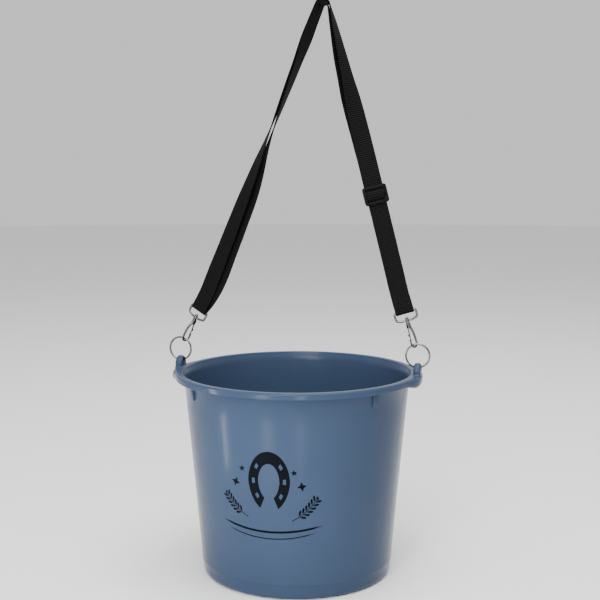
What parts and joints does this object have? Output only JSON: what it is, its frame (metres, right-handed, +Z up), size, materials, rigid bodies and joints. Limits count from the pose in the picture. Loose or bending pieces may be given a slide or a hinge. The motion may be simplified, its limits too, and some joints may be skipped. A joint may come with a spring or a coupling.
{
  "type": "feed bucket",
  "caption": "Round tapered plastic feed bucket with rim lugs, split rings, swivel snap hooks and an adjustable webbing carry strap.",
  "frame": {"origin": "on the floor, under the centre of the bucket", "axes": "+X towards the right-hand lug, -Y the printed front, +Z up"},
  "size_m": [0.3621, 0.33, 0.7736],
  "materials": {
    "blue_plastic": "moulded slate-blue polypropylene, soft gloss",
    "nickel": "bright nickel plate",
    "black_webbing": "black woven polypropylene webbing",
    "black_plastic": "black moulded acetal",
    "black_thread": "black polyester thread"
  },
  "bodies": {
    "bucket": {"bucket": "blue_plastic"},
    "left_ring": {"left_ring": "nickel"},
    "right_ring": {"right_ring": "nickel"},
    "strap": {"strap_webbing": "black_webbing", "left_hook_eye": "nickel", "right_hook_eye": "nickel", "right_end_stitching": "black_thread"},
    "left_hook": {"left_hook_body": "nickel", "left_gate_pin": "nickel", "left_gate_spring": "nickel"},
    "right_hook": {"right_hook_body": "nickel", "right_gate_pin": "nickel", "right_gate_spring": "nickel"},
    "left_gate": {"left_gate": "nickel"},
    "right_gate": {"right_gate": "nickel"},
    "slider": {"slider_frame": "black_plastic", "slider_webbing": "black_webbing", "slider_stitching": "black_thread"}
  },
  "joints": [
    {"name": "strap_swing", "type": "hinge", "parent": "bucket", "child": "strap", "pos_m": [0, 0, 0.2874], "axis": [1, 0, 0], "range_deg": [-88, 88]},
    {"name": "left_ring_swing", "type": "hinge", "parent": "bucket", "child": "left_ring", "pos_m": [-0.1648, 0, 0.2874], "axis": [1, 0, 0], "range_deg": [-88, 88]},
    {"name": "right_ring_swing", "type": "hinge", "parent": "bucket", "child": "right_ring", "pos_m": [0.1648, 0, 0.2874], "axis": [1, 0, 0], "range_deg": [-88, 88]},
    {"name": "left_hook_swivel", "type": "hinge", "parent": "strap", "child": "left_hook", "pos_m": [-0.14212, 0, 0.34805], "axis": [0.4509, 0, 0.8926], "range_deg": [-1, 50]},
    {"name": "right_hook_swivel", "type": "hinge", "parent": "strap", "child": "right_hook", "pos_m": [0.15001, 0, 0.35123], "axis": [-0.294, 0, 0.9558], "range_deg": [-8, 50]},
    {"name": "left_gate_hinge", "type": "hinge", "parent": "left_hook", "child": "left_gate", "pos_m": [-0.14538, 0.00098, 0.34006], "axis": [-0.7312, 0.5736, 0.3693], "range_deg": [0, 18], "stiffness_Nm_per_rad": 0.04, "springref_deg": -17.19},
    {"name": "right_gate_hinge", "type": "hinge", "parent": "right_hook", "child": "right_gate", "pos_m": [0.15188, -0.00098, 0.3428], "axis": [0.7829, -0.5736, 0.2409], "range_deg": [0, 18], "stiffness_Nm_per_rad": 0.04, "springref_deg": -17.19},
    {"name": "strap_adjust", "type": "slide", "parent": "strap", "child": "slider", "axis": [-0.2458, 0, 0.9693], "range_m": [-0.044, 0.012]}
  ],
  "couplings": [
    {"joint": "left_ring_swing", "follows": "strap_swing", "ratio": 1},
    {"joint": "right_ring_swing", "follows": "strap_swing", "ratio": 1}
  ]
}
